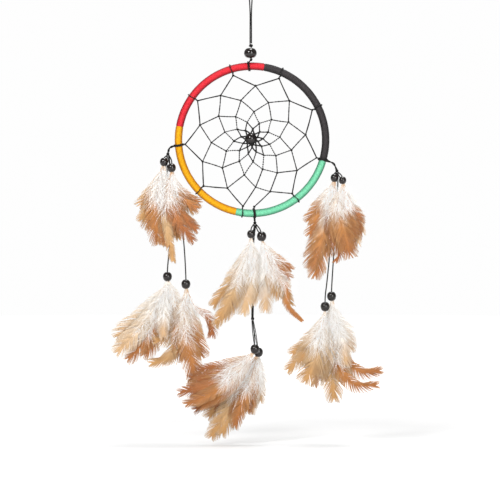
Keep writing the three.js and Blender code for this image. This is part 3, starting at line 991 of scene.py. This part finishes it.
tufts = {
    "left_upper_1": {"down": fluff(1400, 0.52, 14, 0.7), "plumes": [
        plume("beige", [(-1, -3), (-4, -18), (-9, -31), (-17, -44)], 6, 6, depth=(0, 2, 3, 3)),
        plume("ginger", [(-1, -3), (-5, -23), (-7, -43), (-5, -61)], 9, 8, depth=(0, -1, -1, 0)),
        plume("beige", [(1, -3), (1, -28), (3, -53), (7, -76)], 4, 4, depth=(0, -2, -3, -2)),
    ]},
    "left_upper_2": {"down": fluff(1200, 0.45, 13, 0.7), "plumes": [
        plume("beige", [(1, -3), (3, -21), (8, -35), (17, -45)], 5, 5, depth=(0, 2, 3, 3)),
        plume("ginger", [(1, -3), (3, -14), (9, -24), (19, -31)], 5, 6, depth=(0, 0, 1, 1)),
        plume("ginger", [(0, -3), (-2, -23), (-2, -43), (-5, -57)], 7, 8, depth=(0, 0, 0, 0)),
        plume("russet", [(0, -3), (-2, -18), (3, -38), (16, -55)], 5, 6, depth=(0, -2, -3, -2)),
    ]},
    "left_lower_1": {"down": fluff(1300, 0.7, 12, 0.7), "plumes": [
        plume("sand", [(0, -4), (-8, -20), (-17, -35), (-28, -48), (-38, -58)], 8, 9, depth=(0, 1, 1, 0, 0)),
        plume("ginger", [(0, -4), (-7, -22), (-13, -40), (-22, -55), (-30, -63)], 7, 6,
              depth=(0, 2, 3, 3, 2)),
        plume("pale", [(0, -4), (-2, -20), (-3, -34), (-3, -46)], 5, 5, depth=(0, -2, -3, -2)),
        plume("sand", [(1, -4), (4, -15), (5, -24), (5, -32)], 4, 4, depth=(0, 1, 2, 2)),
    ]},
    "left_lower_2": {"down": fluff(1300, 0.62, 13, 0.7), "plumes": [
        plume("sand", [(1, -4), (3, -25), (6, -42), (9, -55)], 4, 3, depth=(0, 2, 3, 3)),
        plume("beige", [(0, -4), (-4, -28), (-8, -47), (-15, -57), (-26, -61)], 6, 7, depth=(0, 1, 2, 1, 0)),
        plume("ginger", [(1, -4), (-1, -28), (2, -50), (8, -74)], 9, 8, depth=(0, -1, -2, -1)),
        plume("russet", [(1, -4), (7, -17), (15, -23), (20, -31), (20, -39)], 5, 6, behind=0, bare=0.3,
              depth=(0, -3, -4, -3, -2)),
    ]},
    "centre_upper_1": {"down": fluff(1200, 0.6, 13, 0.7), "plumes": [
        plume("pale", [(0, -3), (-4, -20), (-9, -38), (-16, -56)], 9, 8, depth=(0, 2, 3, 3)),
        plume("beige", [(0, -3), (-3, -14), (-8, -30), (-15, -48), (-27, -69)], 6, 6,
              depth=(0, 0, -1, -1, 0)),
        plume("sand", [(0, -3), (2, -20), (0, -38), (-6, -60)], 6, 6, depth=(0, 1, 1, 1)),
    ]},
    "centre_upper_2": {"down": fluff(1300, 0.6, 14, 0.7), "plumes": [
        plume("pale", [(0, -3), (3, -25), (4, -42), (3, -56)], 7, 7, depth=(0, 1, 2, 2)),
        plume("ginger", [(0, -3), (6, -14), (12, -22), (21, -31)], 4, 4, depth=(0, -1, -1, 0)),
        plume("beige", [(0, -3), (8, -22), (15, -38), (22, -52)], 5, 6, depth=(0, 1, 0, 0)),
        plume("ginger", [(1, -3), (8, -25), (19, -40), (20, -53), (31, -65)], 3, 3, behind=0,
              depth=(0, -2, -3, -2, -1)),
    ]},
    "centre_lower_1": {"down": fluff(1100, 0.55, 13, 0.5), "plumes": [
        plume("russet", [(-1, -3), (-12, -10), (-25, -17), (-44, -24)], 5, 5, depth=(0, 0, 0, 0)),
        plume("russet", [(-1, -3), (-14, -16), (-32, -27), (-57, -33)], 6, 6, depth=(0, -1, -1, 0)),
        plume("ginger", [(-1, -3), (-13, -18), (-30, -32), (-52, -42)], 5, 6, depth=(0, -2, -2, -1)),
    ]},
    "centre_lower_2": {"down": fluff(1300, 0.55, 14, 0.5), "plumes": [
        plume("russet", [(-1, -3), (-10, -14), (-23, -27), (-48, -44)], 6, 6, depth=(0, -1, -1, 0)),
        plume("beige", [(0, -3), (-10, -22), (-24, -45), (-36, -65)], 7, 8, depth=(0, 1, 1, 0)),
        plume("ginger", [(-1, -3), (-6, -20), (-12, -38), (-18, -56)], 6, 6, depth=(0, -2, -3, -2)),
        plume("pale", [(0, -3), (1, -18), (-3, -32), (-5, -45)], 5, 5, depth=(0, -1, -1, 0)),
    ]},
    "right_upper_1": {"down": fluff(1400, 0.42, 12, 0.7), "plumes": [
        plume("ginger", [(-1, -3), (-6, -16), (-12, -30), (-19, -43)], 6, 6, depth=(0, 1, 1, 0)),
        plume("ginger", [(-1, -3), (-5, -25), (-10, -50), (-15, -75)], 8, 8, depth=(0, 0, 0, 0)),
        plume("russet", [(0, -3), (-1, -25), (-1, -45), (4, -57), (1, -64)], 4, 5, depth=(0, -2, -3, -2, -1)),
    ]},
    "right_upper_2": {"down": fluff(1200, 0.42, 12, 0.7), "plumes": [
        plume("pale", [(1, -3), (6, -18), (10, -32), (12, -48)], 4, 4, depth=(0, 2, 3, 2)),
        plume("russet", [(1, -3), (2, -20), (8, -33), (7, -52)], 5, 6, depth=(0, 0, 1, 1)),
        plume("ginger", [(0, -3), (-4, -20), (0, -38), (5.6, -57)], 8, 8, depth=(0, -2, -3, -2)),
    ]},
    "right_lower_1": {"down": fluff(1300, 0.62, 12, 0.7), "plumes": [
        plume("ginger", [(1, -4), (3, -30), (6, -55), (18, -68), (34, -69)], 6, 6, behind=1,
              depth=(0, 1, 2, 1, 0)),
        plume("beige", [(0, -4), (-1, -30), (0, -55), (2, -79)], 9, 9, depth=(0, 2, 3, 2)),
        plume("pale", [(0, -4), (4, -20), (9, -34), (11, -52)], 6, 6, depth=(0, -1, -1, 0)),
    ]},
    "right_lower_2": {"down": fluff(1200, 0.55, 13, 0.7), "plumes": [
        plume("beige", [(0, -4), (-6, -20), (-15, -35), (-28, -48)], 6, 6, depth=(0, 1, 1, 0)),
        plume("beige", [(0, -4), (-3, -20), (-7, -37), (-15, -57)], 10, 9, depth=(0, -1, -2, -1)),
        plume("ginger", [(0, -4), (-3, -25), (-5, -42), (-8, -60)], 5, 5, depth=(0, 2, 2, 2)),
    ]},
}


def makeTuft(name, tuft):
    drop, level, index = name.split("_")
    node = f"{drop}_{level}_tuft_{index}"
    body = f"{drop}_upper" if level == "upper" else f"{drop}_lower_{index}"
    bead = middleOf(f"{drop}_{level}_bead_{index}")
    for i, feather in enumerate(tuft["plumes"], 1):
        makeFeather(f"{name}_feather_{i}", node, body, bead, feather, f"{name}{i}")
    routes = [feather["route"] for feather in tuft["plumes"]]
    makeDown(f"{name}_down", node, body, bead, tuft["down"], routes, name)


for name, tuft in tufts.items():
    makeTuft(name, tuft)
    print(f"tuft {name} made")


# Studio: a pale floor, soft lights and a white surround.
studio = {
    "floor": -0.357, "reach": 3.0, "surround": 0.36, "seen": 0.99,
    "nearGlow": 0.2, "farGlow": 0.8, "glowFrom": 0.42, "glowTo": 0.75, "aim": (0, 0, -0.2),
}
lights = {
    "key": {"spot": (-0.7, -1.1, 0.5), "size": 0.45, "power": 14},
    "fill": {"spot": (0.6, -1.3, 0.0), "size": 0.6, "power": 8},
    "top": {"spot": (0.1, 0.0, 0.8), "size": 0.4, "power": 9},
    "sparkle": {"spot": (0.35, -1.2, 0.35), "size": 0.1, "power": 1.2},
}


def makeFloor():
    bm = bmesh.new()
    bmesh.ops.create_circle(bm, cap_ends=True, segments=96, radius=studio["reach"],
                            matrix=Matrix.Translation((0, 0, studio["floor"])))
    mesh = bpy.data.meshes.new("studio_floor")
    bm.to_mesh(mesh)
    bm.free()
    graph = finishGraph("paleFloor", Roughness=0.9, Specular_IOR_Level=0.1, Emission_Strength=1.0)
    graph.drive("Base Color", graph.mix(speckle(graph, 30) * 0.2, (0.66, 0.66, 0.66), (0.63, 0.63, 0.63)))
    away = graph.node("ShaderNodeVectorMath", {"operation": "LENGTH"}, {0: place(graph)}, out=1)
    spread = graph.node("ShaderNodeMapRange", {}, {"Value": away, "From Min": studio["glowFrom"],
                                                   "From Max": studio["glowTo"]})
    near, far = [studio["nearGlow"]] * 3, [studio["farGlow"]] * 3
    graph.drive("Emission Color", graph.mix(spread, near, far))
    mesh.materials.append(graph.owner)
    floor = bpy.data.objects.new("studio_floor", mesh)
    bpy.context.scene.collection.objects.link(floor)


# The surround looks pure white behind the object, and lights it more gently.
def makeSurround():
    world = bpy.data.worlds.new("studio")
    graph = Graph(world, "Background", Color=(1, 1, 1, 1))
    seen = graph.node("ShaderNodeLightPath", out="Is Camera Ray")
    graph.drive("Strength", seen * (studio["seen"] - studio["surround"]) + studio["surround"])
    bpy.context.scene.world = world


def softLight(name, light):
    data = bpy.data.lights.new(name, "AREA")
    data.shape = "DISK"
    data.size = light["size"]
    data.energy = light["power"]
    lamp = bpy.data.objects.new(name, data)
    lamp.location = light["spot"]
    lamp.rotation_euler = (Vector(studio["aim"]) - lamp.location).to_track_quat("-Z", "Y").to_euler()
    bpy.context.scene.collection.objects.link(lamp)


makeFloor()
makeSurround()
for name, light in lights.items():
    softLight(name, light)
bpy.context.scene.view_settings.view_transform = "Standard"
print("studio lit")
